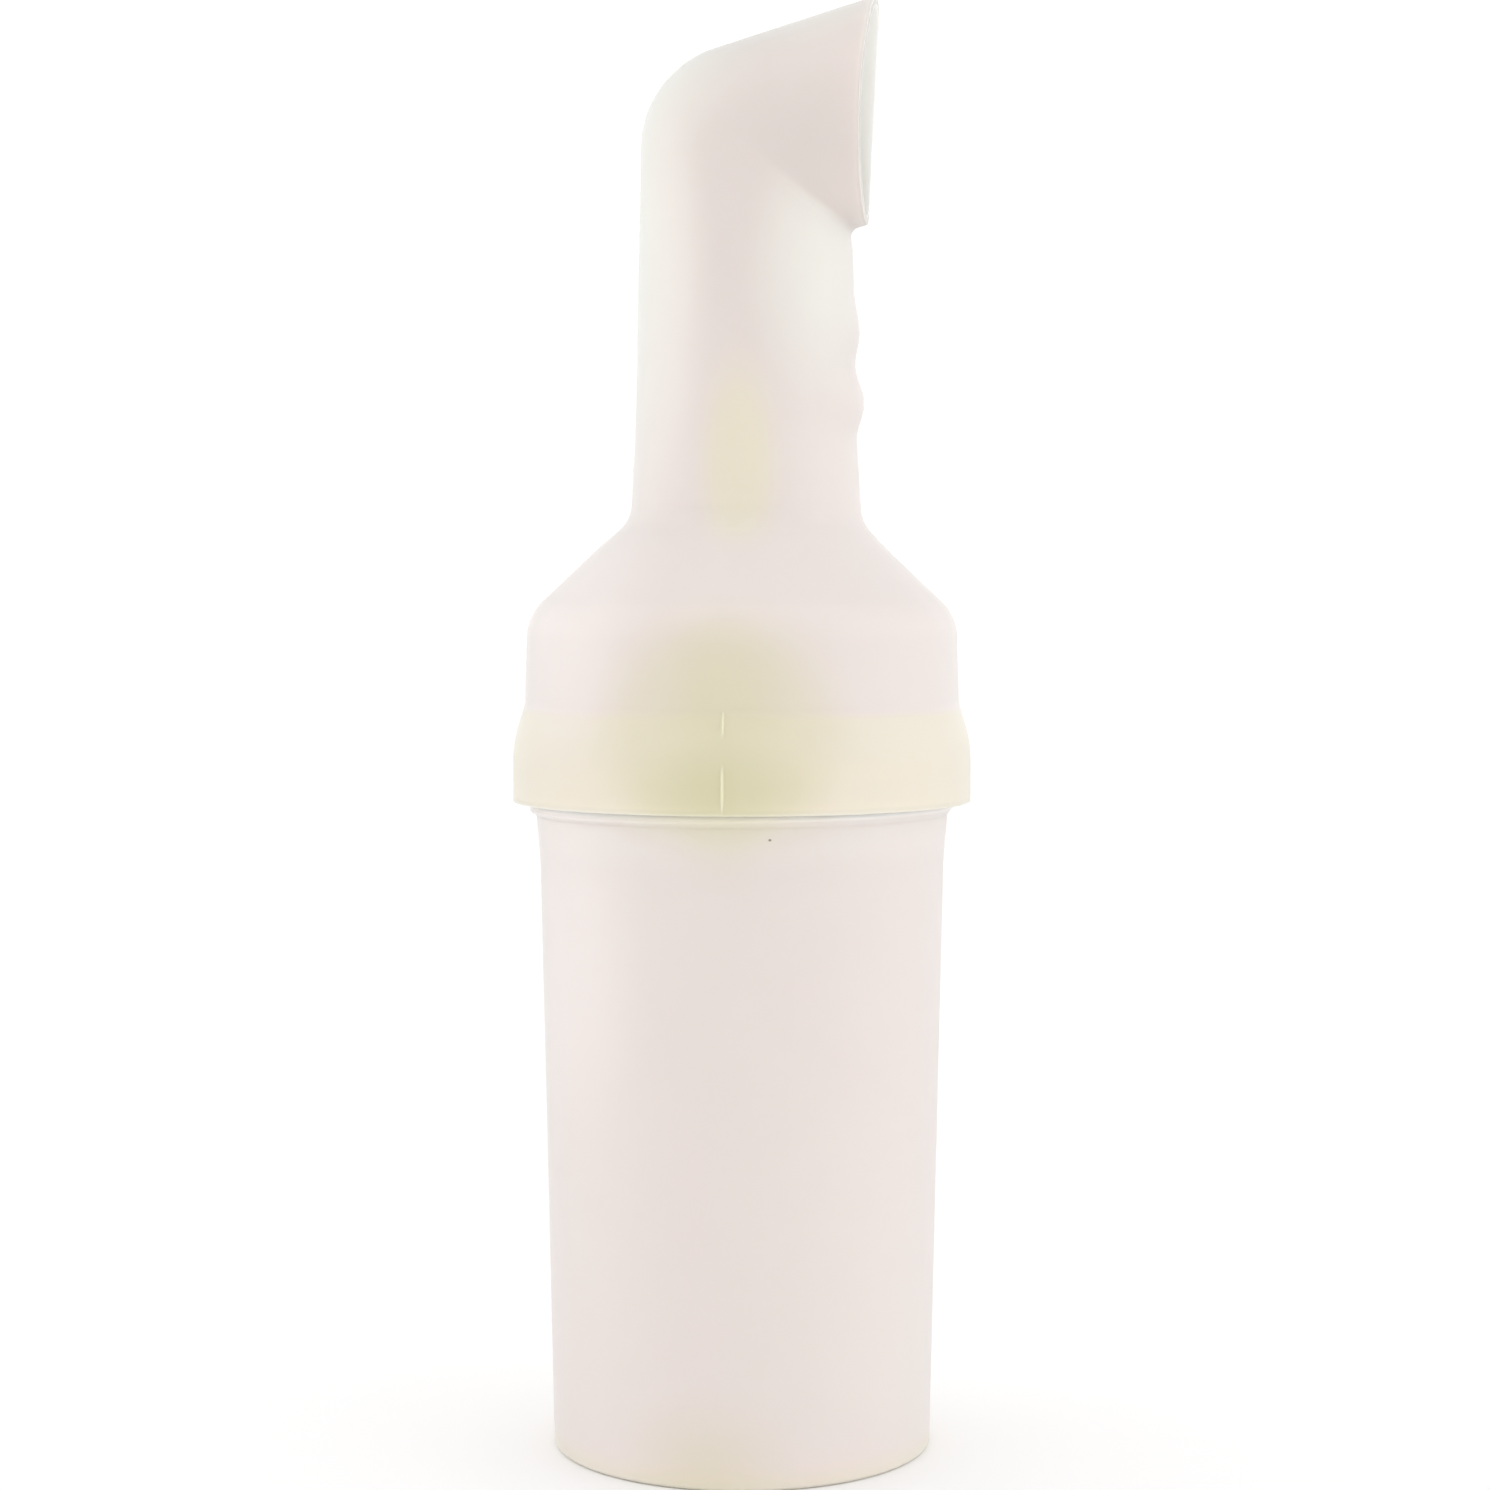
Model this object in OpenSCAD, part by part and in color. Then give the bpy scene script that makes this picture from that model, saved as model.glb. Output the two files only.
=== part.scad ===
// Two-part spouted bottle in thin translucent plastic. A tapered cup screws up into the wide
// collar of the top, a seal ring closes the joint, and the top narrows through a cone shoulder
// into a grip neck that turns over into an open, slant-cut spout.
// Frame: origin at the centre of the foot, +Z up, +X towards the mouth of the spout.

/* [Cup] */
// Outer radius of the cup just above its foot
cup_foot_r = 46; // [45:0.5:47]
// Outer radius of the cup where its wall starts to widen below the collar
cup_waist_r = 49; // [48:0.5:49.5]
// Height of the cup's rim above the foot
cup_h = 176.5; // [176:0.1:177]
// Thickness of the cup's wall
cup_wall = 1.9; // [1.4:0.1:2]
// Thickness of the cup's floor
cup_floor = 2.4; // [1.8:0.1:3]
// Height of the recess under the middle of the foot
foot_recess = 2.2; // [1:0.2:3]
// Width of the flat ring that the cup stands on
foot_ring_w = 4; // [3:0.5:6]

/* [Screw joint] */
// Outer radius of the straight band at the top of the cup that carries the thread
band_r = 50; // [49.8:0.1:50.2]
// Outer radius of the bead round the cup just under the collar
bead_r = 51.5; // [50.8:0.1:52]
// Height of that bead
bead_h = 3.3; // [2.5:0.1:4]
// Rise of the thread in one turn
thread_lead = 8; // [7.5:0.1:8.2]
// Length of each thread in turns
thread_turns = 1.25; // [0.75:0.25:1.25]
// How far the cup's thread stands out from its band
cup_thread_h = 2.3; // [1.8:0.1:2.4]
// How far the collar's thread stands in from its wall
collar_thread_h = 2.9; // [2.4:0.1:3]
// Clearance between the pressed flanks of the two threads
thread_gap = 0.3; // [0.2:0.05:0.5]
// Thickness of the seal ring
seal_t = 1.8; // [1.2:0.1:2]
// Gap left between the seal ring and each face that it seals against
seal_gap = 0.02; // [0.01:0.01:0.05]

/* [Top] */
// Height of the collar's lower edge above the foot
collar_z = 157.3; // [157:0.1:157.8]
// Outer radius of the collar
collar_r = 55.5; // [55.2:0.1:56]
// Outer radius of the body at the top of the collar's flare
body_r = 52.6; // [52.2:0.1:52.8]
// Height of the corner where the body turns into the cone shoulder
shoulder_z = 202.1; // [200:0.5:204]
// Height of the corner where the cone shoulder meets the neck
neck_z = 225; // [224:0.5:226]
// Outer radius of the neck at that corner
neck_foot_r = 28; // [27.5:0.1:28.5]
// Outer radius of the neck at the middle of the grip
grip_r = 26.75; // [26.4:0.05:27]
// How far the neck stands forward of the cup's axis
neck_x = 1; // [0:0.05:1.2]
// Thickness of the top's wall
top_wall = 2; // [1.6:0.1:2]

/* [Spout] */
// Height from the foot to the tip of the spout
overall_h = 350; // [347:0.5:352]
// Radius of the spout's tube and of the neck where they meet in a ball
spout_r = 25.4; // [25:0.1:25.6]
// Height of the point where the axes of neck and spout meet
elbow_z = 313.9; // [312:0.1:316]
// Angle of the spout above level
spout_rise = 16.8; // [14:0.2:20]
// Lean of the mouth's plane from upright
mouth_lean = 2.8; // [0:0.2:5]
// How far the sides of the mouth stand back from a flat cut through its tip and its lower lip
mouth_bow = 1.3; // [0.4:0.1:2.4]

/* [Finger ridges] */
// Height of the upper ridge's crest
ridge_upper_z = 270.5; // [268:0.5:273]
// How far the upper ridge stands out of the neck
ridge_upper_h = 1.2; // [0.8:0.1:1.6]
// Height of the lower ridge's crest
ridge_lower_z = 253.4; // [251:0.2:255]
// How far the lower ridge stands out of the neck
ridge_lower_h = 2.1; // [1.5:0.1:2.5]

/* [Hidden] */
$fn = 96;

// Largest turn, in degrees, between neighbouring points of a rounded corner
corner_step = 8;
// Steps in one turn of a thread
thread_steps = 48;
// How far one solid reaches into another, or past a face that it cuts
bite = 1;

plastic = [0.93, 0.91, 0.87];
rubber = [0.80, 0.79, 0.74];

// Cup
foot_edge_r = 1.2;
foot_inner_r = cup_foot_r - foot_edge_r - foot_ring_w;
waist_z = 143;
rim_edge_r = 0.6;
floor_corner_r = 3;
cup_in_r = band_r - cup_wall;
// The bead: a sliver below the collar, with a slope under it and a square step on top
collar_shadow_gap = 0.35;
bead_top_z = collar_z - collar_shadow_gap;
bead_foot_z = bead_top_z - bead_h;
bead_slope_h = 1.2;

// Thread sections: half widths at the wall and at the crest, with flanks of one slope
thread_wall_w = 1.6;
flank = 0.345;
cup_crest_r = band_r + cup_thread_h;
collar_in_r = collar_r - top_wall;
collar_crest_r = collar_in_r - collar_thread_h;
cup_thread_z = 163;
// Length over which each end of a thread fades into its wall, in degrees
thread_fade = 28;
// Both ridges' half widths halfway across their overlap
mesh_r = (cup_crest_r + collar_crest_r) / 2;
cup_mesh_w = thread_wall_w - flank * (mesh_r - band_r);
collar_mesh_w = thread_wall_w - flank * (collar_in_r - mesh_r);
collar_thread_z = cup_thread_z - cup_mesh_w - collar_mesh_w - thread_gap / cos(atan(flank));

// Seal ring, between the cup's rim and a ledge inside the top
seal_in_r = cup_in_r + 0.1;
seal_out_r = 51;
seal_edge_r = 0.4;
ledge_z = cup_h + seal_t + 2 * seal_gap;
ledge_in_r = seal_in_r + 0.6;
ledge_h = 1.6;
ledge_brace_h = 3;

// Corners of the skins as [radius, height, corner radius], upwards. The body's skin is centred on
// the cup's axis and dives under the neck's, which is centred on the neck's axis and dives under
// the cone, so that the neck can stand forward of the body.
dive = 0.15;
neck_tuck_h = 6;
body_tuck_h = 8;
// Share of the neck's offset by which the body's own corner stands back
tuck_share = 0.7;
grip_z = 246;
skirt_top_z = 171.5;
flare_top_z = 181.2;
shoulder_r = body_r - 0.6;
cone_slope = (shoulder_r - neck_foot_r) / (neck_z - shoulder_z);
neck_slope = (neck_foot_r - grip_r) / (grip_z - neck_z);
body_skin = [
    [collar_r, collar_z, 0],
    [collar_r, skirt_top_z, 30],
    [body_r, flare_top_z, 6],
    [shoulder_r, shoulder_z, 12],
    [neck_foot_r - tuck_share * neck_x, neck_z + tuck_share * neck_x / cone_slope, 12],
    [neck_foot_r - body_tuck_h * neck_slope - neck_x - dive, neck_z + body_tuck_h, 0],
];
// How far the neck's skin meets the cone below the body's own corner
neck_drop = (neck_x + dive) / (cone_slope - neck_slope);
neck_skin = [
    [neck_foot_r - neck_x - dive + neck_tuck_h * cone_slope, neck_z - neck_tuck_h, 0],
    [neck_foot_r + neck_drop * neck_slope, neck_z - neck_drop, 9],
    [grip_r, grip_z, 260],
    [spout_r, elbow_z, 0],
];

// Spout: where its roof reaches the full height, and the block that cuts its mouth, which ends
// level with the underside of the ball
tip_x = neck_x + (overall_h - elbow_z - spout_r / cos(spout_rise)) / tan(spout_rise);
spout_l = 60;
mouth_cut_h = overall_h - elbow_z + spout_r;
mouth_bow_r = spout_r * spout_r / (2 * mouth_bow);
// The ball at the bend stands this much proud of both tubes, so that each runs into its side
ball_proud = 0.06;

// Finger ridges: radius of each crest's plan circle, and half the height of each ridge
ridge_plan_r = 21;
ridge_upper_half = 8;
ridge_lower_half = 9;

// Parting-line ribs on the collar, as [lowest, highest] and the angle of the front one
rib_spans = [[collar_z, 169], [175.2, 180.7]];
rib_angle = -88.6;
rib_w = 0.4;
rib_h = 0.25;

// ---- outline functions ----

function unit(v) = v / norm(v);
function flat(p) = [p[0], p[1]];
function left_of(v) = [-v[1], v[0]];

// The points of one corner, [radius, height, corner radius], between its neighbours
function corner(a, b, c) =
    let (
        into = unit(flat(b) - flat(a)),
        out = unit(flat(c) - flat(b)),
        turn = acos(min(1, into * out)),
        side = sign(cross(into, out)),
        start = flat(b) - into * b[2] * tan(turn / 2),
        steps = max(2, ceil(turn / corner_step))
    )
    b[2] == 0 || turn < 0.01
        ? [flat(b)]
        : [for (i = [0 : steps])
            let (t = turn * i / steps)
            start + b[2] * (sin(t) * into + side * (1 - cos(t)) * left_of(into))];

// The points of an open path of corners
function rounded(path) =
    let (last = len(path) - 1)
    [for (i = [0 : last])
        each (i == 0 || i == last ? [flat(path[i])] : corner(path[i - 1], path[i], path[i + 1]))];

// The same path moved d to its left, with the radii of its corners changed to match
function inset(path, d) =
    let (last = len(path) - 1)
    [for (i = [0 : last])
        let (
            p = flat(path[i]),
            into = unit(i > 0 ? p - flat(path[i - 1]) : flat(path[1]) - p),
            out = i < last ? unit(flat(path[i + 1]) - p) : into,
            n1 = left_of(into),
            n2 = left_of(out),
            q = p + d * (n1 + n2) / (1 + n1 * n2),
            r = path[i][2] == 0 ? 0 : max(0, path[i][2] - sign(cross(into, out)) * d)
        )
        [q[0], q[1], r]];

// Outer radius of the straight-sided neck at height z
function neck_r(z) = grip_r + (spout_r - grip_r) * (z - grip_z) / (elbow_z - grip_z);

// ---- threads ----

// A ridge that climbs round the axis. Its section runs from wall_r to crest_r, it is buried
// past the wall, and its ends fade into the wall.
module helical_ridge(wall_r, crest_r, z0) {
    outward = sign(crest_r - wall_r);
    buried_r = wall_r - outward * bite;
    sunk_r = wall_r - outward * bite / 2;
    n = ceil(thread_turns * thread_steps);
    sweep = 360 * thread_turns;

    function section(i) =
        let (
            a = sweep * i / n,
            z = z0 + thread_lead * a / 360,
            k = min(1, a / thread_fade, (sweep - a) / thread_fade),
            tip_r = sunk_r + (crest_r - sunk_r) * k,
            wall_w = thread_wall_w + flank * bite,
            tip_w = thread_wall_w - flank * outward * (tip_r - wall_r),
            low = outward > 0 ? [buried_r, tip_r] : [tip_r, buried_r],
            width = outward > 0 ? [wall_w, tip_w] : [tip_w, wall_w]
        )
        [for (p = [[low[0], -width[0]], [low[1], -width[1]], [low[1], width[1]], [low[0], width[0]]])
            [p[0] * cos(a), p[0] * sin(a), z + p[1]]];

    polyhedron(
        points = [for (i = [0 : n]) each section(i)],
        faces = [
            [0, 2, 1],
            [0, 3, 2],
            for (i = [0 : n - 1], j = [0 : 3])
                let (a = 4 * i + j, b = 4 * i + (j + 1) % 4)
                each [[a, b + 4, a + 4], [a, b, b + 4]],
            [4 * n, 4 * n + 1, 4 * n + 2],
            [4 * n, 4 * n + 2, 4 * n + 3],
        ]
    );
}

// ---- cup ----

// The cup's section, from the axis under the floor, up the outside and down the inside
cup_section = [
    [0, foot_recess, 0],
    [foot_inner_r - foot_recess, foot_recess, 0],
    [foot_inner_r, 0, 0],
    [cup_foot_r, 0, foot_edge_r],
    [cup_waist_r, waist_z, 60],
    [band_r - 0.1, bead_foot_z, 0.6],
    [bead_r, bead_foot_z + bead_slope_h, 0.5],
    [bead_r, bead_top_z, 0.5],
    [band_r, bead_top_z, 0],
    [band_r, cup_h, rim_edge_r],
    [cup_in_r, cup_h, rim_edge_r],
    [cup_in_r, bead_foot_z, 30],
    [cup_waist_r - cup_wall, waist_z, 30],
    [cup_foot_r - cup_wall, cup_floor + foot_recess, floor_corner_r],
    [0, cup_floor + foot_recess, 0],
];

module cup() color(plastic) {
    rotate_extrude()
        polygon(rounded(cup_section));
    helical_ridge(band_r, cup_crest_r, cup_thread_z);
}

// ---- seal ring ----

module seal_ring() color(rubber)
    rotate_extrude()
        polygon(rounded([
            [seal_in_r, cup_h + seal_gap + seal_t / 2, 0],
            [seal_in_r, cup_h + seal_gap, seal_edge_r],
            [seal_out_r, cup_h + seal_gap, seal_edge_r],
            [seal_out_r, cup_h + seal_gap + seal_t, seal_edge_r],
            [seal_in_r, cup_h + seal_gap + seal_t, seal_edge_r],
            [seal_in_r, cup_h + seal_gap + seal_t / 2, 0],
        ]));

// ---- top ----

// The solid that a skin encloses
module skin_solid(skin)
    rotate_extrude()
        polygon([[0, skin[0][1]], each rounded(skin), [0, skin[len(skin) - 1][1]]]);

// A finger ridge: a barrel set forward in the neck, so that it fades out round the sides
module finger_ridge(z, height, half, inset_d) {
    crest_x = neck_r(z) + height - ridge_plan_r;
    bow = (half * half + height * height) / (2 * height);
    translate([crest_x, 0, z])
        rotate_extrude()
            intersection() {
                translate([ridge_plan_r - bow, 0])
                    circle(bow - inset_d);
                translate([0, -1.5 * half])
                    square([ridge_plan_r + bite, 3 * half]);
            }
}

// Everything inside the top's skin, moved in by inset_d: once for the outside, once for the hollow
module top_form(inset_d, spout_length) {
    skin_solid(inset(body_skin, inset_d));
    translate([neck_x, 0, 0]) {
        skin_solid(inset(neck_skin, inset_d));
        finger_ridge(ridge_upper_z, ridge_upper_h, ridge_upper_half, inset_d);
        finger_ridge(ridge_lower_z, ridge_lower_h, ridge_lower_half, inset_d);
        translate([0, 0, elbow_z]) {
            sphere(spout_r + ball_proud - inset_d);
            rotate([0, 90 - spout_rise, 0])
                cylinder(r = spout_r - inset_d, h = spout_length);
        }
    }
}

// The ledge inside the top that presses on the seal ring
module ledge() {
    root_r = body_r - top_wall / 2;
    rotate_extrude()
        polygon([
            [ledge_in_r, ledge_z],
            [seal_out_r + bite, ledge_z],
            [root_r, ledge_z + ledge_h + bite],
            [root_r, ledge_z + ledge_h + ledge_brace_h],
            [ledge_in_r, ledge_z + ledge_h],
        ]);
}

// A fine rib that the mould's parting line leaves on the collar
module parting_rib(span, angle)
    rotate([90, 0, angle])
        translate([0, 0, -rib_w / 2])
            linear_extrude(rib_w)
                intersection() {
                    polygon([
                        [body_r - bite, collar_z],
                        each rounded(inset(body_skin, -rib_h)),
                        [0, elbow_z],
                    ]);
                    translate([body_r - bite, span[0]])
                        square([collar_r - body_r + 2 * bite, span[1] - span[0]]);
                }

// The block that cuts the mouth, hollowed by a wide cylinder so that the cut is bowed
module mouth_cut() {
    difference() {
        translate([0, -collar_r, 0])
            cube([mouth_bow_r + collar_r, 2 * collar_r, mouth_cut_h + collar_r]);
        translate([0, 0, -bite])
            cylinder(r = mouth_bow_r, h = mouth_cut_h + collar_r + 2 * bite);
    }
}

module spout_top() color(plastic) {
    difference() {
        union() {
            top_form(0, spout_l - bite);
            for (span = rib_spans, turn = [0, 180])
                parting_rib(span, rib_angle + turn);
        }
        top_form(top_wall, spout_l);
        translate([0, 0, collar_z - bite])
            cylinder(r = collar_in_r, h = 2 * bite);
        translate([tip_x, 0, overall_h])
            rotate([0, mouth_lean, 0])
                translate([-mouth_bow_r, 0, -mouth_cut_h])
                    mouth_cut();
    }
    ledge();
    helical_ridge(collar_in_r, collar_crest_r, collar_thread_z);
}

cup();
seal_ring();
spout_top();
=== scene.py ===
"""A two-part spouted bottle in thin natural polyethylene, standing on a pale floor.

The scene is in metres: origin at the centre of the foot, +Z up, +X towards the mouth. Outlines, meshes
and material patches are worked out in millimetres, with the CAD part's sizes, and scaled by MM.
"""

import math

import bpy
import numpy as np
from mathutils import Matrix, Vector


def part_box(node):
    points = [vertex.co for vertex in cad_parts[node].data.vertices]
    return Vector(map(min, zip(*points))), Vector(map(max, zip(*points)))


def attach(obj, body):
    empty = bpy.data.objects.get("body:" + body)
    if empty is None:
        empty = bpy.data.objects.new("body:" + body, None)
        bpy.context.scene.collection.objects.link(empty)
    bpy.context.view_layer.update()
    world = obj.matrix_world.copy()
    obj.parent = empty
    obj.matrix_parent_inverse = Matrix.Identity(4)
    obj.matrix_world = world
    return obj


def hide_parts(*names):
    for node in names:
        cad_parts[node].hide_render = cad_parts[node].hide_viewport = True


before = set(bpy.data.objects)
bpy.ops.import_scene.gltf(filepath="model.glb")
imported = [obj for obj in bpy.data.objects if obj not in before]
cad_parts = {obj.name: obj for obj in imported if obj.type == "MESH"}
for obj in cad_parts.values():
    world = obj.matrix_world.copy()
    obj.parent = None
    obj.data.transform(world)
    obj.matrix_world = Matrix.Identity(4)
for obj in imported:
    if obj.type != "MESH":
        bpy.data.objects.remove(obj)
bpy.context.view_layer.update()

MM = 0.001


# ---------------------------------------------------------------- sizes, in millimetres

def box_mm(node):
    """A CAD node's lowest and highest corner."""
    lo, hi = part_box(node)
    return np.array(lo) / MM, np.array(hi) / MM


CUP_H = box_mm("cup")[1][2]
COLLAR_Z = box_mm("spout_top")[0][2]
TIP_Z = box_mm("spout_top")[1][2]

# cup
FOOT_R = 46.0
FOOT_TOP_R = 46.2
FOOT_TOP_Z = 9.5
FOOT_EDGE = 1.2
FOOT_RING_IN = 40.8
FOOT_RECESS = 2.2
WAIST_R = 49.0
WAIST_Z = 143.0
BAND_R = 50.0
CUP_WALL = 1.9
CUP_FLOOR = 2.4
CUP_FLOOR_EDGE = 5.0
RIM_EDGE = 0.6

# bead under the collar: a square step on the left of the cup, a slope on the right
BEAD_TOP_Z = COLLAR_Z - 0.15
BEAD_FOOT_Z = BEAD_TOP_Z - 3.3
BEAD_OUT = 1.5
BEAD_STEP_H = 1.2
BEAD_SLOPE_H = 2.8

# threads
LEAD = 8.0
THREAD_SWEEP = 450.0
THREAD_FADE = 28.0
THREAD_HALF = 1.6
FLANK = 0.345
CUP_THREAD_Z = 163.0
CUP_THREAD_H = 2.3
COLLAR_THREAD_Z = 160.48
COLLAR_THREAD_H = 2.9

# collar, body and cone shoulder
COLLAR_R = 55.5
COLLAR_EDGE = 0.16
COLLAR_TOP_Z = 171.5
BODY_R = 52.6
BODY_Z = 181.2
SHOULDER_R = 52.0
SHOULDER_Z = 202.1
NECK_FOOT_R = 28.0
NECK_Z = 225.0
TOP_WALL = 2.0

# ledge inside the collar that presses on the seal
LEDGE_Z = CUP_H + 1.84
LEDGE_IN_R = 48.8
LEDGE_T = 1.6
LEDGE_SLOPE_Z = LEDGE_Z + 3.4
LEDGE_END_Z = LEDGE_Z + 5.0

# parting rib on the collar's front and back: direction, half widths at crest and foot, height
RIB_DEG = 271.4
RIB_FLAT_DEG = 0.2
RIB_FOOT_DEG = 0.45
RIB_OUT = 0.25
RIB_SPANS = [(COLLAR_Z + 0.2, 169.0), (175.2, 180.7)]

# grip neck; its axis moves forward by NECK_X over the top of the cone
GRIP_R = 26.75
GRIP_Z = 246.0
NECK_X = 1.0
SHIFT_FOOT_Z = NECK_Z - 9.0
SHIFT_H = 12.0
FLARE_TOP_Z = GRIP_Z + 4.0
FLARE_H = 25.0
FLARE_OUT = 0.9

# finger ridges: lower edge, crest and upper edge in height, and how far the crest stands out
FINGER_RIDGES = [(244.5, 253.6, 262.5, 2.05), (262.5, 270.6, 281.0, 1.2)]
RIDGE_HALF_DEG = 46.0
RIDGE_TOP_Z = 285.0

# bend, spout and mouth
SPOUT_R = 25.4
ELBOW_Z = 313.9
SPOUT_RISE = math.radians(16.8)
TURN = math.pi / 2 - SPOUT_RISE
ALONG = np.array([math.cos(SPOUT_RISE), math.sin(SPOUT_RISE)])
CREASE_R = 2.2
CREASE_GROWTH = 1.6
CREASE_EASE = 0.3
BACK_BEND = 1.0
MOUTH_LEAN = math.tan(math.radians(2.8))
MOUTH_BOW = 1.3
MOUTH_LOW_Z = TIP_Z - 2.1 * SPOUT_R
TIP_X = NECK_X + (TIP_Z - ELBOW_Z - SPOUT_R / math.cos(SPOUT_RISE)) / math.tan(SPOUT_RISE)

# mesh: how far apart lines and rings are
LINE_DEG = 1.25
RIB_CLEAR_DEG = 0.8
CUP_RING_GAP = 3.0
TOP_RING_GAP = 1.6
BEAD_RING_GAP = 0.15
THREAD_RING_GAP = 0.2
NECK_RINGS, BEND_RINGS, SPOUT_RINGS = 26, 30, 34


# ---------------------------------------------------------------- outlines

def rounded(path, step=4.0):
    """The points of an open path of [radius, height, corner radius], its corners turned to arcs."""
    straight = 1e-4
    out = []
    for i, (r, z, c) in enumerate(path):
        b = np.array([r, z])
        if i in (0, len(path) - 1) or not c:
            out.append(b)
            continue
        a, d = np.array(path[i - 1][:2]), np.array(path[i + 1][:2])
        into, on = (b - a) / np.linalg.norm(b - a), (d - b) / np.linalg.norm(d - b)
        turn = math.acos(max(-1.0, min(1.0, float(into @ on))))
        if turn < straight:
            out.append(b)
            continue
        side = math.copysign(1.0, into[0] * on[1] - into[1] * on[0])
        left = np.array([-into[1], into[0]])
        start = b - into * c * math.tan(turn / 2)
        n = max(3, math.ceil(math.degrees(turn) / step))
        for k in range(n + 1):
            t = turn * k / n
            out.append(start + c * (math.sin(t) * into + side * (1 - math.cos(t)) * left))
    return np.array(out)


def filled(points, gap):
    """The same outline with no two neighbouring points further apart than gap."""
    out = [points[0]]
    for a, b in zip(points[:-1], points[1:]):
        n = max(1, math.ceil(float(np.linalg.norm(b - a)) / gap))
        out += [a + (b - a) * k / n for k in range(1, n + 1)]
    return np.array(out)


def offset_outline(path, d):
    """A revolved outline moved d inwards along its own normals."""
    out = []
    for i, p in enumerate(path):
        a, b = path[max(i - 1, 0)], path[min(i + 1, len(path) - 1)]
        t = (b - a) / max(float(np.linalg.norm(b - a)), 1e-9)
        out.append(p + d * np.array([-t[1], t[0]]))
    return np.array(out)


def smooth(t):
    """0 to 1 with level ends."""
    t = np.clip(t, 0.0, 1.0)
    return t * t * (3 - 2 * t)


def bump(z, low, peak, high):
    """A soft ridge from low to high with its crest at peak."""
    return np.where(z < peak, smooth((z - low) / (peak - low)), smooth((high - z) / (high - peak)))


# ---------------------------------------------------------------- mesh

def line_directions():
    """Directions of a shell's lengthwise lines: even ones, and four at each parting rib."""
    even = np.arange(0.0, 360.0, LINE_DEG)
    clear = np.abs(even % 180 - RIB_DEG % 180) > RIB_CLEAR_DEG
    steps = (-RIB_FOOT_DEG, -RIB_FLAT_DEG, RIB_FLAT_DEG, RIB_FOOT_DEG)
    at_ribs = [side + step for side in (RIB_DEG - 180, RIB_DEG) for step in steps]
    return np.sort(np.concatenate([even[clear], at_ribs]))


DEG = line_directions()
SEGMENTS = len(DEG)
COS, SIN = np.cos(np.radians(DEG)), np.sin(np.radians(DEG))


def ring_of(r, z, x=0.0):
    """A level ring about an axis at x. Its radius may differ from line to line."""
    r = np.broadcast_to(r, DEG.shape)
    return np.stack([x + r * COS, r * SIN, np.full(SEGMENTS, z)], axis=1)


def closed_mesh(name, rings, inside, poles=None):
    """A closed mesh of rings of points, joined end to end or capped by a pole at each end.

    Faces from ring number inside onwards take the second material.
    """
    rings = np.asarray(rings, float)
    rows, cols = rings.shape[:2]
    verts = rings.reshape(-1, 3)
    bands = rows - 1 if poles else rows
    row = np.arange(bands)[:, None] * cols
    above = (row + cols) % (rows * cols)
    here = np.arange(cols)[None, :]
    on = (here + 1) % cols
    faces = np.stack([row + here, row + on, above + on, above + here], axis=-1).reshape(-1, 4).tolist()
    if poles:
        verts = np.vstack([verts, poles])
        first, last = rows * cols, rows * cols + 1
        base = (rows - 1) * cols
        faces += [(first, (k + 1) % cols, k) for k in range(cols)]
        faces += [(last, base + k, base + (k + 1) % cols) for k in range(cols)]
    mesh = bpy.data.meshes.new(name)
    mesh.from_pydata((verts * MM).tolist(), [], faces)
    mesh.update()
    obj = bpy.data.objects.new(name, mesh)
    bpy.context.scene.collection.objects.link(obj)
    mesh.shade_smooth()
    mesh.set_sharp_from_angle(angle=math.radians(40))
    slots = np.zeros(len(faces), dtype=np.int32)
    slots[inside * cols:bands * cols] = 1
    if poles:
        slots[-cols:] = 1
    mesh.polygons.foreach_set("material_index", slots)
    return obj


def thread_out(z, z0, height):
    """How far a thread that starts at z0 stands out of its wall at height z, line by line."""
    out = np.zeros(SEGMENTS)
    for turn in range(math.ceil(THREAD_SWEEP / 360.0) + 1):
        a = DEG + 360.0 * turn
        fade = smooth(np.minimum(a, THREAD_SWEEP - a) / THREAD_FADE)
        off = np.abs(z - z0 - LEAD * a / 360.0)
        flanks = np.clip((THREAD_HALF - off) / FLANK, 0.0, height)
        out = np.maximum(out, np.minimum(flanks, height * fade))
    return out


# ---------------------------------------------------------------- cup

def bead_out(z):
    """How far the bead stands out of the cup's wall at height z, line by line."""
    right = (1 + COS) / 2
    slope_h = BEAD_STEP_H + (BEAD_SLOPE_H - BEAD_STEP_H) * right
    return BEAD_OUT * smooth((z - BEAD_FOOT_Z) / slope_h)


def cup_foot():
    """Rings from under the cup's floor, round the foot ring and a little way up the wall."""
    path = rounded([
        [2.0, FOOT_RECESS, 0],
        [FOOT_RING_IN - 2.4, FOOT_RECESS, 1.0],
        [FOOT_RING_IN, 0.0, 0.5],
        [FOOT_R, 0.0, FOOT_EDGE],
        [FOOT_TOP_R, FOOT_TOP_Z, 0],
    ])
    return [ring_of(r, z) for r, z in filled(path, CUP_RING_GAP)]


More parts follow.
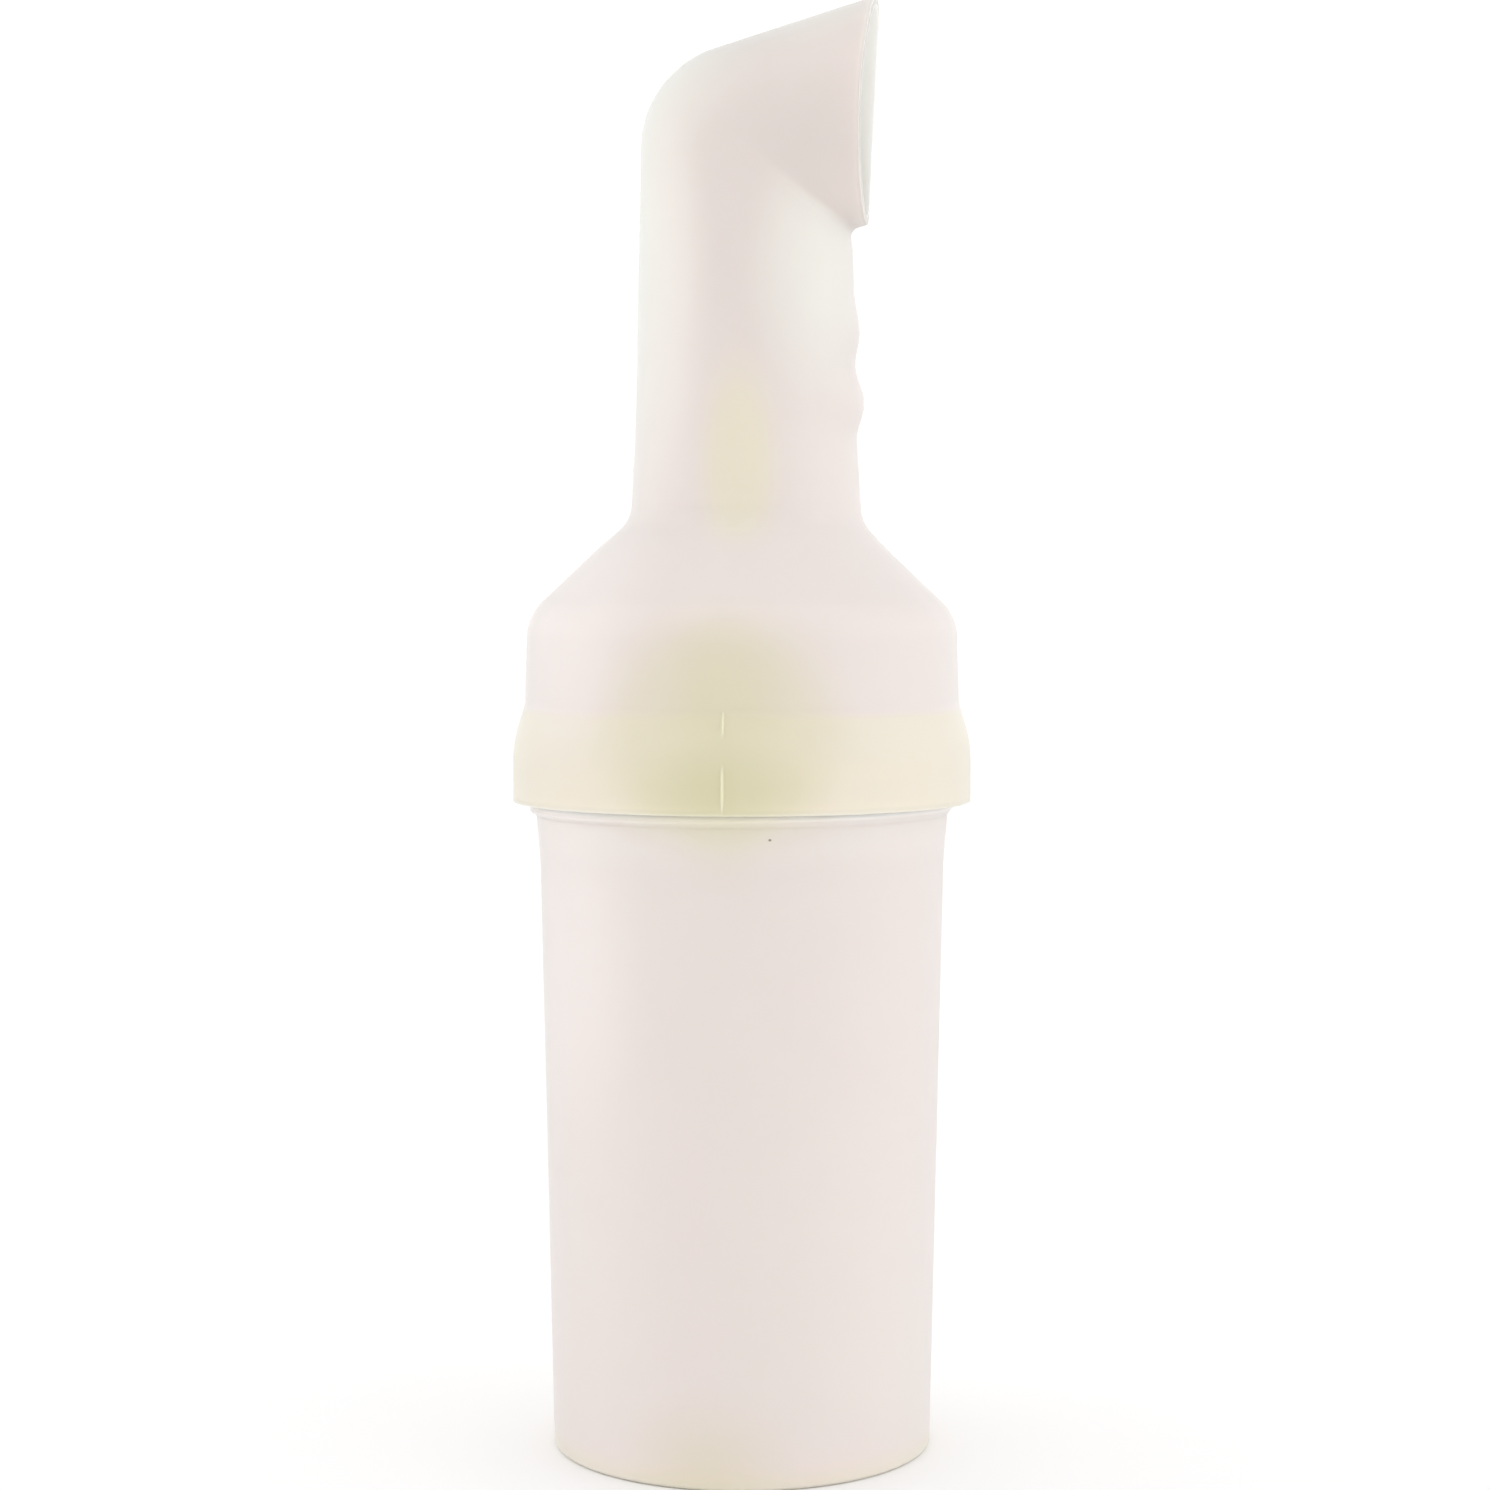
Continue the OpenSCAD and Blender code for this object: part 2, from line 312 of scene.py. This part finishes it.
def cup_wall():
    """Rings from there up the tapered wall, over the bead and up the threaded band."""
    wall = rounded([
        [FOOT_R, 0, 0],
        [WAIST_R, WAIST_Z, 60],
        [BAND_R - 0.1, BEAD_FOOT_Z, 6],
        [BAND_R, BEAD_TOP_Z, 0],
    ])[1:]
    plain = filled(np.vstack([[FOOT_TOP_R, FOOT_TOP_Z], wall]), CUP_RING_GAP)[1:]
    rings = [ring_of(r, z) for r, z in plain if z < BEAD_FOOT_Z - 1.0]
    bead_heights = np.append(np.arange(BEAD_FOOT_Z - 0.9, BEAD_TOP_Z, BEAD_RING_GAP), BEAD_TOP_Z)
    for z in bead_heights:
        rings.append(ring_of(np.interp(z, wall[:, 1], wall[:, 0]) + bead_out(z), z))
    for z in np.arange(BEAD_TOP_Z + 0.02, CUP_H - 2 * RIM_EDGE - 0.05, THREAD_RING_GAP):
        rings.append(ring_of(BAND_R + thread_out(z, CUP_THREAD_Z, CUP_THREAD_H), z))
    return rings


def cup_rim():
    path = rounded([
        [BAND_R, CUP_H - 2 * RIM_EDGE, 0],
        [BAND_R, CUP_H, RIM_EDGE],
        [BAND_R - CUP_WALL, CUP_H, RIM_EDGE],
        [BAND_R - CUP_WALL, CUP_H - 2 * RIM_EDGE, 0],
    ])
    return [ring_of(r, z) for r, z in path]


def cup_inside():
    """Rings down the inner wall and across the floor."""
    floor_z = CUP_FLOOR + FOOT_RECESS
    path = rounded([
        [BAND_R - CUP_WALL, CUP_H - RIM_EDGE, 0],
        [BAND_R - CUP_WALL, BEAD_FOOT_Z, 30],
        [WAIST_R - CUP_WALL, WAIST_Z, 30],
        [FOOT_R - CUP_WALL, floor_z, CUP_FLOOR_EDGE],
        [3.0, floor_z, 0],
    ])
    rim_end = CUP_H - 2 * RIM_EDGE - 0.1
    return [ring_of(r, z) for r, z in filled(path, CUP_RING_GAP) if z < rim_end]


def build_cup():
    outside = cup_foot() + cup_wall() + cup_rim()
    poles = [[0, 0, FOOT_RECESS], [0, 0, CUP_FLOOR + FOOT_RECESS]]
    return closed_mesh("cup_shell", outside + cup_inside(), len(outside), poles)


# ---------------------------------------------------------------- top

BODY_PATH = rounded([
    [COLLAR_R, COLLAR_Z, 0],
    [COLLAR_R, COLLAR_TOP_Z, 30],
    [BODY_R, BODY_Z, 6],
    [SHOULDER_R, SHOULDER_Z, 12],
    [NECK_FOOT_R, NECK_Z, 9],
    [GRIP_R, GRIP_Z, 260],
    [SPOUT_R, ELBOW_Z, 0],
], step=2.0)


def neck_r(z):
    """Outer radius of the grip neck at height z, which flares a little towards its foot."""
    straight = GRIP_R + (SPOUT_R - GRIP_R) * (z - GRIP_Z) / (ELBOW_Z - GRIP_Z)
    flare = np.clip((FLARE_TOP_Z - z) / FLARE_H, 0.0, None)
    return straight + FLARE_OUT * flare ** 2


def finger_ridges(z):
    """How far the finger ridges stand out at height z, line by line: only round the neck's front."""
    from_front = np.degrees(np.abs(np.arctan2(SIN, COS)))
    side = np.clip(1 - (from_front / RIDGE_HALF_DEG) ** 2, 0.0, 1.0)
    return sum(out * bump(z, low, peak, high) for low, peak, high, out in FINGER_RIDGES) * side ** 1.3


def parting_rib(z):
    """The fine rib that the mould's parting line leaves on the collar, line by line."""
    if not any(low < z < high for low, high in RIB_SPANS):
        return 0.0
    off = np.abs(DEG % 180 - RIB_DEG % 180)
    return RIB_OUT * np.clip((RIB_FOOT_DEG - off) / (RIB_FOOT_DEG - RIB_FLAT_DEG), 0.0, 1.0)


def collar_inside(skin):
    """Rings up the collar's inner wall with its thread, then the ledge that presses on the seal."""
    rings = []
    for z in np.arange(COLLAR_Z + 0.3, LEDGE_Z - 0.3, THREAD_RING_GAP):
        wall = np.interp(z, skin[:, 1], skin[:, 0])
        rings.append(ring_of(wall - thread_out(z, COLLAR_THREAD_Z, COLLAR_THREAD_H), z))
    wall = np.interp(LEDGE_Z, skin[:, 1], skin[:, 0])
    ledge = rounded([
        [wall, LEDGE_Z - 0.25, 0],
        [wall, LEDGE_Z, 0.2],
        [LEDGE_IN_R, LEDGE_Z, 0.3],
        [LEDGE_IN_R, LEDGE_Z + LEDGE_T, 0.4],
        [BODY_R - TOP_WALL, LEDGE_SLOPE_Z, 1.0],
        [BODY_R - TOP_WALL, LEDGE_END_Z, 0],
    ], step=15)
    return rings + [ring_of(r, z) for r, z in ledge]


def body_rings(d):
    """Rings from the collar's lower edge to above the finger ridges, d inside the outer skin."""
    path = filled(BODY_PATH, TOP_RING_GAP)
    path = path[path[:, 1] < RIDGE_TOP_Z + 0.8]
    if d:
        skin = offset_outline(path, d)
        rings = [ring_of(COLLAR_R - d, COLLAR_Z)] + collar_inside(skin)
        above = skin[:, 1] > LEDGE_END_Z + 0.4
        path, skin = path[above], skin[above]
    else:
        rings = [ring_of(COLLAR_R - COLLAR_EDGE * out, COLLAR_Z + COLLAR_EDGE * up)
                 for out, up in ((1.0, 0.0), (0.3, 0.3))]
        path = path[path[:, 1] > COLLAR_Z + 2 * COLLAR_EDGE]
        path = skin = np.vstack([[COLLAR_R, COLLAR_Z + COLLAR_EDGE], path])
    for (_, z0), (r, z) in zip(path, skin):
        ring_r = r + finger_ridges(z0) + (0.0 if d else parting_rib(z0))
        rings.append(ring_of(ring_r, z, NECK_X * smooth((z0 - SHIFT_FOOT_Z) / SHIFT_H)))
    return rings


def bend_line(j, base, d):
    """Points of one lengthwise line from the last body ring to the mouth, as [x, z, share of neck].

    The line leaves the neck, turns about the ball of the bend or through the crease, and runs along
    the spout to the plane of the mouth.
    """
    tube = SPOUT_R - d
    dist = tube * COS[j]
    z0 = base[2]
    crease_r = CREASE_R * (1 + CREASE_GROWTH * (1 - COS[j])) + CREASE_EASE * d
    radius = max(crease_r, -BACK_BEND * dist)
    start_z = ELBOW_Z - dist * math.tan(TURN / 2) - radius * math.tan(TURN / 2)
    start = np.array([NECK_X + dist, start_z])
    line = []
    for k in range(1, NECK_RINGS + 1):
        t = k / NECK_RINGS
        z = z0 + (start_z - z0) * t
        in_spout = smooth(t) ** 3
        straight = NECK_X + (neck_r(z) - d) * COS[j]
        line.append([straight + (start[0] - straight) * in_spout, z, 1 - in_spout])
    for k in range(1, BEND_RINGS + 1):
        a = TURN * k / BEND_RINGS
        p = start + radius * np.array([1 - math.cos(a), math.sin(a)])
        line.append([p[0], p[1], 0.0])
    end = np.array(line[-1][:2])
    bow = MOUTH_BOW * (tube * SIN[j] / SPOUT_R) ** 2
    to_plane = TIP_X - bow + (end[1] - TIP_Z) * MOUTH_LEAN - end[0]
    reach = to_plane / (ALONG[0] - ALONG[1] * MOUTH_LEAN)
    for k in range(1, SPOUT_RINGS + 1):
        p = end + ALONG * reach * k / SPOUT_RINGS
        line.append([p[0], p[1], 0.0])
    return line


def top_rings(d):
    """Rings from the collar's lower edge to the mouth, d inside the outer skin."""
    rings = body_rings(d)
    columns = []
    for j in range(SEGMENTS):
        columns.append([
            [x, ((neck_r(z) - d) * w + (SPOUT_R - d) * (1 - w)) * SIN[j], z]
            for x, z, w in bend_line(j, rings[-1][j], d)
        ])
    return rings + list(np.transpose(np.array(columns), (1, 0, 2)))


def build_top():
    outer, inner = top_rings(0.0), top_rings(TOP_WALL)
    across = inner[-1] - outer[-1]
    lip = [outer[-1] + across * share for share in (0.06, 0.2, 0.5, 0.8, 0.94)]
    return closed_mesh("top_shell", outer + lip + inner[::-1], len(outer) + len(lip) - 1)


cup = build_cup()
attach(cup, "cup_body")
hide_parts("cup")

top = build_top()
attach(top, "top_body")
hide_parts("spout_top")


# ---------------------------------------------------------------- materials

class Nodes:
    """A new material, with short ways to add and join its nodes."""

    def __init__(self, name):
        self.material = bpy.data.materials.new(name)
        self.material.use_nodes = True
        self.tree = self.material.node_tree
        self.bsdf = self.tree.nodes["Principled BSDF"]
        self.coord = self.tree.nodes.new("ShaderNodeTexCoord").outputs["Object"]
        split = self.add("ShaderNodeSeparateXYZ")
        self.feed(split.inputs[0], self.coord)
        self.x, self.y, self.z = split.outputs

    def add(self, kind, **settings):
        node = self.tree.nodes.new(kind)
        for key, value in settings.items():
            setattr(node, key, value)
        return node

    def feed(self, socket, value):
        if isinstance(value, bpy.types.NodeSocket):
            self.tree.links.new(value, socket)
        else:
            socket.default_value = value

    def math(self, operation, a, b, clamp=False):
        node = self.add("ShaderNodeMath", operation=operation, use_clamp=clamp)
        self.feed(node.inputs[0], a)
        self.feed(node.inputs[1], b)
        return node.outputs[0]

    def ramp(self, value, low, high, to_low, to_high):
        node = self.add("ShaderNodeMapRange", interpolation_type="SMOOTHSTEP")
        self.feed(node.inputs["Value"], value)
        for name, v in (("From Min", low), ("From Max", high), ("To Min", to_low), ("To Max", to_high)):
            node.inputs[name].default_value = v
        return node.outputs["Result"]

    def mix(self, factor, a, b, blend="MIX"):
        # the node keeps one set of sockets for each data type; these are the colour ones
        node = self.add("ShaderNodeMix", data_type="RGBA", blend_type=blend)
        self.feed(node.inputs[0], factor)
        self.feed(node.inputs[6], a)
        self.feed(node.inputs[7], b)
        return node.outputs[2]

    def noise(self, scale, detail, stretch=(1, 1, 1)):
        place = self.add("ShaderNodeMapping")
        place.inputs["Scale"].default_value = stretch
        self.feed(place.inputs["Vector"], self.coord)
        node = self.add("ShaderNodeTexNoise")
        self.feed(node.inputs["Vector"], place.outputs[0])
        node.inputs["Scale"].default_value = scale
        node.inputs["Detail"].default_value = detail
        return node.outputs["Fac"]

    def blob(self, centre, radii, even):
        """1 over the even share of an ellipsoid, falling softly to 0 at its surface."""
        off = self.add("ShaderNodeVectorMath", operation="SUBTRACT")
        self.feed(off.inputs[0], self.coord)
        off.inputs[1].default_value = [c * MM for c in centre]
        part = self.add("ShaderNodeVectorMath", operation="DIVIDE")
        self.feed(part.inputs[0], off.outputs[0])
        part.inputs[1].default_value = [r * MM for r in radii]
        size = self.add("ShaderNodeVectorMath", operation="LENGTH")
        self.feed(size.inputs[0], part.outputs[0])
        return self.ramp(size.outputs["Value"], even, 1.0, 1.0, 0.0)

    def band(self, low, high, soft_low, soft_high, amount):
        """amount between two heights, falling softly to 0 outside them."""
        up = self.ramp(self.z, (low - soft_low) * MM, (low + soft_low) * MM, 0.0, amount)
        down = self.ramp(self.z, (high - soft_high) * MM, (high + soft_high) * MM, 1.0, 0.0)
        return self.math("MULTIPLY", up, down)


PLASTIC = (0.803, 0.722, 0.690, 1)
# a clearer tone that the random drift goes towards and that patches also use as painted light, a
# lighter tone that is painted light, and a darker tone that is painted shade
CLEAR_AND_PAINTED_LIGHT = (0.800, 0.790, 0.735, 1)
PAINTED_LIGHT = (0.870, 0.785, 0.752, 1)
SHADE = (0.690, 0.640, 0.612, 1)
OLIVE = (0.715, 0.672, 0.485, 1)
DEEP = (0.660, 0.630, 0.430, 1)
IVORY = (0.805, 0.752, 0.570, 1)
SPECK = (0.22, 0.17, 0.11, 1)
RIB_TONE = (0.76, 0.73, 0.53, 1)
INSIDE = (0.775, 0.762, 0.715, 1)
INSIDE_DIM = (0.745, 0.732, 0.685, 1)
# a whiter inside of the joint: painted light against the shade under the collar
JOINT_PAINTED_LIGHT = (0.97, 0.96, 0.92, 1)

# these multiply the colour under them: the first is painted light, the other two painted shade
LIT = (1.22, 1.24, 1.22, 1)
EDGE_SHADE = (0.86, 0.88, 0.88, 1)
RIM_SHADE = (0.80, 0.81, 0.79, 1)

# how far light goes in the plastic, in metres, and how much the tone drifts from place to place
OUTSIDE_DEPTH = 0.003
INSIDE_DEPTH = 0.006
PLASTIC_IOR = 1.5
DRIFT = 0.06


def let_light_through(n, depth):
    n.bsdf.inputs["Subsurface Weight"].default_value = 1.0
    n.bsdf.inputs["Subsurface Radius"].default_value = (1.0, 1.0, 1.0)
    n.bsdf.inputs["Subsurface Scale"].default_value = depth
    n.bsdf.inputs["IOR"].default_value = PLASTIC_IOR


def draw_lines_and_grain(n):
    """The faint lengthwise lines and the grain of blow-moulded plastic."""
    lines = n.math("MULTIPLY", n.noise(420, 2, stretch=(1, 1, 0.03)), 0.7)
    grain = n.math("MULTIPLY", n.noise(900, 2), 0.3)
    relief = n.add("ShaderNodeBump")
    relief.inputs["Strength"].default_value = 0.08
    relief.inputs["Distance"].default_value = 0.0003
    n.feed(relief.inputs["Height"], n.math("ADD", lines, grain))
    n.feed(n.bsdf.inputs["Normal"], relief.outputs["Normal"])


def fold_sides(n):
    """Masks below and above the plane of the crease between neck and spout."""
    slope = math.tan(TURN / 2)
    fold = n.math("ADD", n.z, n.math("MULTIPLY", n.x, slope))
    fold_at = ELBOW_Z + slope * NECK_X
    return {
        "below": n.ramp(fold, (fold_at - 1.5) * MM, (fold_at + 1.0) * MM, 1.0, 0.0),
        "above": n.ramp(fold, (fold_at - 1.0) * MM, (fold_at + 1.5) * MM, 0.0, 1.0),
    }


def mouth_mask(n, depth):
    """1 at the cut of the mouth, falling to 0 over depth back from it."""
    bow = n.math("MULTIPLY", n.math("MULTIPLY", n.y, n.y), MOUTH_BOW / (SPOUT_R * SPOUT_R * MM))
    ahead = n.math("ADD", n.math("ADD", n.x, n.math("MULTIPLY", n.z, -MOUTH_LEAN)), bow)
    mouth_at = TIP_X - TIP_Z * MOUTH_LEAN
    near = n.ramp(ahead, (mouth_at - depth) * MM, mouth_at * MM, 0.0, 1.0)
    high = n.ramp(n.z, (MOUTH_LOW_Z - 8) * MM, MOUTH_LOW_Z * MM, 0.0, 1.0)
    return n.math("MULTIPLY", near, high)


def plastic_material(name, patches, bands, gains, fade=None, mouth_depth=None):
    """Natural polyethylene: milky, waxy, and yellower where there is more of it to look through.

    A patch is a soft ellipsoid of another tone: centre, radii, amount, even share, tone, and the side
    of the crease it keeps to, if any; many patches are painted light, some painted shade. A band is a
    soft step in height: low, high, softness at each, amount, tone. A gain is a band that multiplies
    the colour: painted light where it lightens, painted shade where it darkens. The fade goes over to
    a tone from one height to another: low, high, amount, tone; it is painted shade. The last
    mouth_depth before the cut is darker: painted shade against the glow of light out of the edge.
    """
    n = Nodes(name)
    drift = n.ramp(n.noise(28, 3, stretch=(1, 1, 0.5)), 0.35, 0.65, -DRIFT, DRIFT)
    colour = n.mix(n.math("ADD", drift, DRIFT), PLASTIC, CLEAR_AND_PAINTED_LIGHT)
    if fade:
        low, high, amount, tone = fade
        colour = n.mix(n.ramp(n.z, low * MM, high * MM, 0.0, amount), colour, tone)
    for *where, amount, tone in bands:
        colour = n.mix(n.band(*where, amount), colour, tone)
    sides = fold_sides(n)
    for centre, radii, amount, even, tone, *side in patches:
        mask = n.math("MULTIPLY", n.blob(centre, radii, even), amount)
        if side:
            mask = n.math("MULTIPLY", mask, sides[side[0]])
        mask = n.math("ADD", mask, n.math("MULTIPLY", mask, drift), clamp=True)
        colour = n.mix(mask, colour, tone)
    for *where, amount, tone in gains:
        colour = n.mix(n.band(*where, amount), colour, tone, "MULTIPLY")
    if mouth_depth:
        colour = n.mix(mouth_mask(n, mouth_depth), colour, RIM_SHADE, "MULTIPLY")
    # painted shade: the colour darkens towards the outline, by the angle at which the surface is seen
    facing = n.add("ShaderNodeLayerWeight")
    facing.inputs["Blend"].default_value = 0.5
    colour = n.mix(n.ramp(facing.outputs["Facing"], 0.15, 1.0, 0.0, 1.0), colour, EDGE_SHADE, "MULTIPLY")
    n.feed(n.bsdf.inputs["Base Color"], colour)
    n.feed(n.bsdf.inputs["Roughness"], n.ramp(n.noise(120, 4), 0.3, 0.7, 0.40, 0.50))
    n.bsdf.inputs["Specular IOR Level"].default_value = 0.2
    let_light_through(n, OUTSIDE_DEPTH)
    draw_lines_and_grain(n)
    return n.material


def inside_material(name):
    """The same plastic seen from inside, where daylight comes through the wall."""
    n = Nodes(name)
    # painted light: the inside of the joint is whiter, against the shade under the collar
    in_joint = n.ramp(n.z, CUP_H * MM, (CUP_H + 6.0) * MM, 1.0, 0.0)
    colour = n.mix(n.ramp(n.noise(40, 3), 0.3, 0.7, 0.0, 1.0), INSIDE, INSIDE_DIM)
    n.feed(n.bsdf.inputs["Base Color"], n.mix(in_joint, colour, JOINT_PAINTED_LIGHT))
    n.feed(n.bsdf.inputs["Roughness"], n.ramp(n.noise(120, 4), 0.3, 0.7, 0.45, 0.55))
    let_light_through(n, INSIDE_DEPTH)
    return n.material


def rubber_material(name):
    """Pale moulded elastomer: matt, faintly mottled."""
    n = Nodes(name)
    mottle = n.ramp(n.noise(260, 4), 0.3, 0.7, 0.0, 1.0)
    n.feed(n.bsdf.inputs["Base Color"], n.mix(mottle, (0.60, 0.58, 0.52, 1), (0.68, 0.66, 0.60, 1)))
    n.feed(n.bsdf.inputs["Roughness"], n.ramp(n.noise(700, 2), 0.3, 0.7, 0.62, 0.74))
    return n.material


inside_plastic = inside_material("polyethylene_inside")

cup.data.materials.append(plastic_material(
    "cup_polyethylene",
    patches=[
        # left side: painted light
        ((-51, -8, 100), (8, 40, 75), 0.8, 0.0, CLEAR_AND_PAINTED_LIGHT),
        ((-36, -32, 122), (24, 30, 62), 0.8, 0.2, PAINTED_LIGHT),
        # front, under the collar and at the foot
        ((0, -48, 162), (38, 26, 18), 0.55, 0.2, OLIVE),
        ((1, -48, 160), (16, 24, 24), 0.4, 0.0, OLIVE),
        ((-4, -46, 4), (26, 20, 22), 0.45, 0.0, OLIVE),
        # a dark speck
        ((11.5, -48.2, 151.5), (0.5, 0.8, 0.4), 0.8, 0.4, SPECK),
    ],
    bands=[(-1, 3.5, 0.5, 3.0, 0.4, IVORY)],
    # painted light on the bead and the cup just under the collar, against the shadow of the collar's
    # overhang
    gains=[(148, 155.8, 6.0, 0.4, 0.25, LIT), (155.8, 157.6, 0.4, 0.3, 0.9, LIT)],
))
cup.data.materials.append(inside_plastic)

top.data.materials.append(plastic_material(
    "top_polyethylene",
    patches=[
        # left side of the body, back of the neck and the bend: painted light
        ((-34, -34, 205), (24, 30, 46), 0.8, 0.2, PAINTED_LIGHT),
        ((-20, -22, 275), (18, 20, 60), 0.7, 0.2, PAINTED_LIGHT),
        ((-28, -10, 290), (28, 42, 80), 1.0, 0.0, CLEAR_AND_PAINTED_LIGHT),
        ((-16, -12, 334), (26, 26, 30), 0.7, 0.0, CLEAR_AND_PAINTED_LIGHT),
        # neck under the spout and the spout's roof: painted light; the spout's side above the crease:
        # painted shade
        ((20, -19, 284), (20, 28, 36), 0.8, 0.2, CLEAR_AND_PAINTED_LIGHT, "below"),
        ((12, -10, 349), (30, 24, 16), 0.7, 0.0, CLEAR_AND_PAINTED_LIGHT),
        ((18, -17, 315), (26, 24, 22), 0.95, 0.0, SHADE, "above"),
        # front of the body and the collar, and up the front of the neck
        ((0, -52, 176), (35, 30, 34), 0.5, 0.5, OLIVE),
        ((1, -52, 182), (19, 24, 24), 0.6, 0.2, OLIVE),
        ((1, -55, 163), (28, 24, 14), 0.7, 0.1, DEEP),
        ((2, -27, 238), (12, 14, 32), 0.62, 0.3, IVORY),
        # the two lengths of parting rib
        ((1.36, -55.7, 163.4), (0.6, 1.2, 6.4), 0.9, 0.5, RIB_TONE),
        ((1.3, -54.5, 178.0), (0.6, 2.5, 3.6), 0.9, 0.5, RIB_TONE),
    ],
    bands=[(150, 179.6, 1, 1.2, 0.5, IVORY)],
    # painted shade on the collar's lower edge, where it catches light from below
    gains=[(157.0, 158.4, 0.1, 0.5, 0.6, EDGE_SHADE)],
    # painted shade: darker up the neck and the spout
    fade=(215, 320, 0.62, SHADE),
    # painted shade on the last 0.9 mm before the mouth's cut, against the glow of its edge
    mouth_depth=0.9,
))
top.data.materials.append(inside_plastic)

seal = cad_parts["seal_ring"].data
seal.materials.clear()
seal.materials.append(rubber_material("seal_rubber"))


# ---------------------------------------------------------------- stage, light and camera

FLOOR_HALF = 8.0
FLOOR_TONE = (0.94, 0.94, 0.94, 1)
WORLD_BRIGHT = 1.50
BACKDROP_BRIGHT = 1.05
WHITE = (1, 1, 1, 1)

# where the studio is darker: direction, cosines where the drop starts and is full, and the drop
FRONT_DROP = ((-0.04, -0.999, 0.0), 0.55, 0.97, 0.45)
TOP_DROP = ((0, 0, 1), 0.1, 0.9, 0.55)

# the camera looks a little past the bottle's axis, which stands AXIS_LEFT left of the picture's middle
CAMERA_AZIMUTH = math.radians(6.0)
CAMERA_DISTANCE = 0.7422
CAMERA_HEIGHT = 0.20837
CAMERA_PITCH = math.radians(2.9055)
CAMERA_LENS = 73.786
SENSOR = 36
AXIS_LEFT = 0.00073

scene = bpy.context.scene


def add_floor():
    s = FLOOR_HALF
    mesh = bpy.data.meshes.new("floor")
    mesh.from_pydata([(-s, -s, 0), (s, -s, 0), (s, s, 0), (-s, s, 0)], [], [(0, 1, 2, 3)])
    floor = bpy.data.objects.new("floor", mesh)
    scene.collection.objects.link(floor)
    material = bpy.data.materials.new("pale_floor")
    material.use_nodes = True
    bsdf = material.node_tree.nodes["Principled BSDF"]
    bsdf.inputs["Base Color"].default_value = FLOOR_TONE
    bsdf.inputs["Roughness"].default_value = 0.8
    mesh.materials.append(material)


def add_softbox(name, place):
    """A tall soft light that faces the bottle."""
    data = bpy.data.lights.new(name, "AREA")
    data.shape = "RECTANGLE"
    data.size, data.size_y = 1.0, 1.6
    data.energy = 1.0
    light = bpy.data.objects.new(name, data)
    light.location = place
    aim = Vector((0, 0, 0.2)) - Vector(place)
    light.rotation_euler = aim.to_track_quat("-Z", "Y").to_euler()
    scene.collection.objects.link(light)


def add_world():
    """An even white studio, a little darker overhead and on the side where the camera stands."""
    world = bpy.data.worlds.new("studio")
    scene.world = world
    world.use_nodes = True
    nodes, links = world.node_tree.nodes, world.node_tree.links
    coord = nodes.new("ShaderNodeTexCoord")

    def drop_towards(direction, low, high, drop):
        dot = nodes.new("ShaderNodeVectorMath")
        dot.operation = "DOT_PRODUCT"
        dot.inputs[1].default_value = direction
        links.new(coord.outputs["Generated"], dot.inputs[0])
        ramp = nodes.new("ShaderNodeMapRange")
        ramp.interpolation_type = "SMOOTHSTEP"
        for key, v in (("From Min", low), ("From Max", high), ("To Min", 0.0), ("To Max", drop)):
            ramp.inputs[key].default_value = v
        links.new(dot.outputs["Value"], ramp.inputs["Value"])
        return ramp.outputs["Result"]

    def less(drop):
        node = nodes.new("ShaderNodeMath")
        node.operation = "SUBTRACT"
        links.new(drop, node.inputs[1])
        return node

    after_front = less(drop_towards(*FRONT_DROP))
    after_front.inputs[0].default_value = WORLD_BRIGHT
    after_top = less(drop_towards(*TOP_DROP))
    links.new(after_front.outputs[0], after_top.inputs[0])

    lighting = nodes["Background"]
    lighting.inputs["Color"].default_value = WHITE
    links.new(after_top.outputs[0], lighting.inputs["Strength"])
    backdrop = nodes.new("ShaderNodeBackground")
    backdrop.inputs["Color"].default_value = WHITE
    backdrop.inputs["Strength"].default_value = BACKDROP_BRIGHT
    path = nodes.new("ShaderNodeLightPath")
    mix = nodes.new("ShaderNodeMixShader")
    links.new(path.outputs["Is Camera Ray"], mix.inputs["Fac"])
    links.new(lighting.outputs["Background"], mix.inputs[1])
    links.new(backdrop.outputs["Background"], mix.inputs[2])
    links.new(mix.outputs["Shader"], nodes["World Output"].inputs["Surface"])


def add_camera():
    data = bpy.data.cameras.new("camera")
    data.lens = CAMERA_LENS
    data.sensor_width = SENSOR
    camera = bpy.data.objects.new("camera", data)
    scene.collection.objects.link(camera)
    away = Vector((math.sin(CAMERA_AZIMUTH), -math.cos(CAMERA_AZIMUTH), 0))
    across = Vector((math.cos(CAMERA_AZIMUTH), math.sin(CAMERA_AZIMUTH), 0))
    camera.location = away * CAMERA_DISTANCE + across * AXIS_LEFT + Vector((0, 0, CAMERA_HEIGHT))
    looking = -away * math.cos(CAMERA_PITCH) - Vector((0, 0, math.sin(CAMERA_PITCH)))
    camera.rotation_euler = looking.to_track_quat("-Z", "Y").to_euler()
    scene.camera = camera


add_floor()
add_softbox("left_softbox", (-1.3, 0.2, 0.9))
add_softbox("right_softbox", (1.3, -0.2, 0.9))
add_world()
add_camera()
scene.view_settings.view_transform = "Standard"
